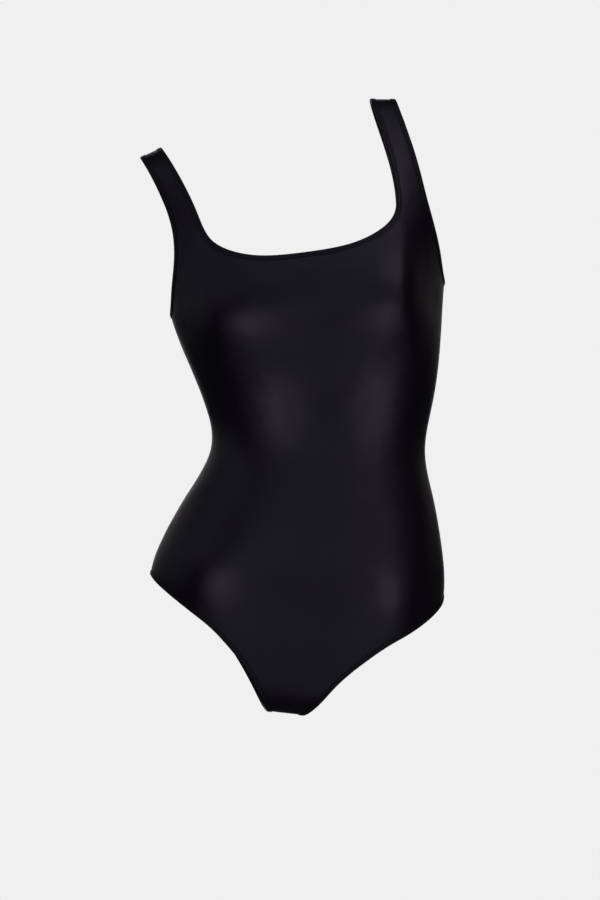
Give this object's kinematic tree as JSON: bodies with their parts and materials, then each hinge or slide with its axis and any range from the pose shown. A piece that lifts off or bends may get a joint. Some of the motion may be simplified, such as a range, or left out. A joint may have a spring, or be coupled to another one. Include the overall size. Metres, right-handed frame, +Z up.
{
  "type": "gymnastics leotard",
  "caption": "Sleeveless stretch leotard with square scoop neck, wide straps and high-cut legs, edges bound over elastic; hollow, shown as worn with the figure left out.",
  "frame": {"origin": "midway between the undersides of the tops of the two shoulder straps, where the wearer's shoulders carry the garment", "axes": "+Z up along the torso, -Y the wearer's front, +X the wearer's left"},
  "size_m": [0.3371, 0.254, 0.6811],
  "materials": {
    "shell_fabric": "satin stretch knit, near black",
    "lining_fabric": "matt fine tricot, soft black",
    "gusset_fabric": "matt cotton jersey, soft black",
    "binding_fabric": "satin stretch knit, near black",
    "elastic": "matt",
    "thread": "soft sheen, textured nylon",
    "seam_thread": "soft, textured nylon",
    "clear_stay": "clear frosted tape",
    "label_tape": "woven satin tape, blank"
  },
  "bodies": {
    "leotard": {"front_panel": "shell_fabric", "back_panel": "shell_fabric", "front_lining": "lining_fabric", "gusset_lining": "gusset_fabric", "neck_binding": "binding_fabric", "armhole_binding_left": "binding_fabric", "armhole_binding_right": "binding_fabric", "leg_binding_left": "binding_fabric", "leg_binding_right": "binding_fabric", "neck_elastic": "elastic", "armhole_elastic_left": "elastic", "armhole_elastic_right": "elastic", "leg_elastic_left": "elastic", "leg_elastic_right": "elastic", "neck_stitching": "thread", "armhole_stitching_left": "thread", "armhole_stitching_right": "thread", "leg_stitching_left": "thread", "leg_stitching_right": "thread", "side_seam_overlock_left": "seam_thread", "side_seam_overlock_right": "seam_thread", "shoulder_seam_overlock_left": "seam_thread", "shoulder_seam_overlock_right": "seam_thread", "crotch_seam_overlock": "seam_thread", "shoulder_stay_left": "clear_stay", "shoulder_stay_right": "clear_stay"},
    "size_label": {"size_label": "label_tape"},
    "care_label": {"care_label": "label_tape"}
  },
  "joints": [
    {"name": "size_label_flip", "type": "hinge", "parent": "leotard", "child": "size_label", "pos_m": [0.04376, 0.08165, -0.18014], "axis": [-0.9985, 0.0048, -0.0546], "range_deg": [0, 150]},
    {"name": "care_label_flip", "type": "hinge", "parent": "leotard", "child": "care_label", "pos_m": [0.17253, -0.00399, -0.37859], "axis": [0.1836, 0.0655, -0.9808], "range_deg": [0, 140]}
  ]
}
